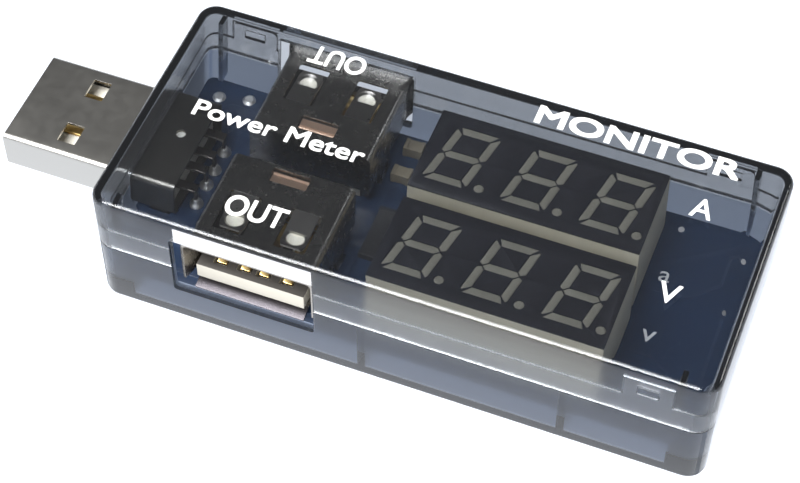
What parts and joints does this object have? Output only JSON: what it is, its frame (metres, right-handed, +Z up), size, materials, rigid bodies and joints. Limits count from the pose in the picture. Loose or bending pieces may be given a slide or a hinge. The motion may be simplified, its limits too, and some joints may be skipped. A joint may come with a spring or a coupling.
{
  "type": "usb power meter",
  "caption": "Pocket inline USB meter: smoky clear case with a USB-A plug at one end, a socket in each long side, and stacked current and voltage displays.",
  "frame": {"origin": "middle of the case's underside", "axes": "+X along the case away from the plug, +Y to the back long side, +Z up through the display face"},
  "size_m": [0.0775, 0.0284, 0.015],
  "materials": {
    "smoky_case": "smoky grey clear plastic, polished",
    "board_mask": "dark blue solder mask on fibreglass",
    "plug_steel": "nickel-plated steel, lightly brushed",
    "socket_steel": "tinned steel, dull",
    "white_insulator": "moulded off-white nylon",
    "contact_plate": "gold flash over phosphor bronze",
    "display_housing": "cream moulded reflector",
    "display_face": "matt black ink",
    "display_board": "bare fibreglass",
    "display_epoxy": "frosted epoxy, unlit",
    "chip_black": "moulded epoxy, matt",
    "ceramic_beige": "fired ceramic with tinned ends"
  },
  "bodies": {
    "case": {"bottom_shell": "smoky_case", "top_cover": "smoky_case", "main_board": "board_mask", "plug_shell": "plug_steel", "plug_insulator": "white_insulator", "front_socket_insulator": "white_insulator", "back_socket_insulator": "white_insulator", "plug_contact_1": "contact_plate", "plug_contact_2": "contact_plate", "plug_contact_3": "contact_plate", "plug_contact_4": "contact_plate", "front_socket_shell": "socket_steel", "front_socket_tail_1": "contact_plate", "front_socket_tail_2": "contact_plate", "front_socket_tail_3": "contact_plate", "front_socket_tail_4": "contact_plate", "back_socket_shell": "socket_steel", "back_socket_tail_1": "contact_plate", "back_socket_tail_2": "contact_plate", "back_socket_tail_3": "contact_plate", "back_socket_tail_4": "contact_plate", "current_display_housing": "display_housing", "current_display_face": "display_face", "current_display_board": "display_board", "current_display_digit_1": "display_epoxy", "current_display_digit_2": "display_epoxy", "current_display_digit_3": "display_epoxy", "voltage_display_housing": "display_housing", "voltage_display_face": "display_face", "voltage_display_board": "display_board", "voltage_display_digit_1": "display_epoxy", "voltage_display_digit_2": "display_epoxy", "voltage_display_digit_3": "display_epoxy", "shunt_resistor": "chip_black", "divider_resistor_1": "chip_black", "divider_resistor_2": "chip_black", "protection_diode": "chip_black", "microcontroller": "chip_black", "current_amplifier": "chip_black", "voltage_regulator": "chip_black", "input_capacitor": "ceramic_beige", "output_capacitor": "ceramic_beige", "filter_capacitor": "ceramic_beige"},
    "front_finger_1": {"front_socket_finger_1": "socket_steel"},
    "front_finger_2": {"front_socket_finger_2": "socket_steel"},
    "front_contact_springs": {"front_socket_spring_1": "contact_plate", "front_socket_spring_2": "contact_plate", "front_socket_spring_3": "contact_plate", "front_socket_spring_4": "contact_plate"},
    "back_finger_1": {"back_socket_finger_1": "socket_steel"},
    "back_finger_2": {"back_socket_finger_2": "socket_steel"},
    "back_contact_springs": {"back_socket_spring_1": "contact_plate", "back_socket_spring_2": "contact_plate", "back_socket_spring_3": "contact_plate", "back_socket_spring_4": "contact_plate"}
  },
  "joints": [
    {"name": "front_finger_1_flex", "type": "hinge", "parent": "case", "child": "front_finger_1", "pos_m": [-0.0184, -0.0055, 0.01115], "axis": [-1, 0, 0], "range_deg": [0, 6], "stiffness_Nm_per_rad": 0.016},
    {"name": "front_finger_2_flex", "type": "hinge", "parent": "case", "child": "front_finger_2", "pos_m": [-0.012, -0.0055, 0.01115], "axis": [-1, 0, 0], "range_deg": [0, 6], "stiffness_Nm_per_rad": 0.016},
    {"name": "front_contact_springs_flex", "type": "hinge", "parent": "case", "child": "front_contact_springs", "pos_m": [-0.0152, -0.0048, 0.00783], "axis": [1, 0, 0], "range_deg": [0, 3.5], "stiffness_Nm_per_rad": 0.05},
    {"name": "back_finger_1_flex", "type": "hinge", "parent": "case", "child": "back_finger_1", "pos_m": [-0.012, 0.0072, 0.01115], "axis": [1, 0, 0], "range_deg": [0, 6], "stiffness_Nm_per_rad": 0.016},
    {"name": "back_finger_2_flex", "type": "hinge", "parent": "case", "child": "back_finger_2", "pos_m": [-0.0184, 0.0072, 0.01115], "axis": [1, 0, 0], "range_deg": [0, 6], "stiffness_Nm_per_rad": 0.016},
    {"name": "back_contact_springs_flex", "type": "hinge", "parent": "case", "child": "back_contact_springs", "pos_m": [-0.0152, 0.0065, 0.00783], "axis": [-1, 0, 0], "range_deg": [0, 4.5], "stiffness_Nm_per_rad": 0.05}
  ]
}
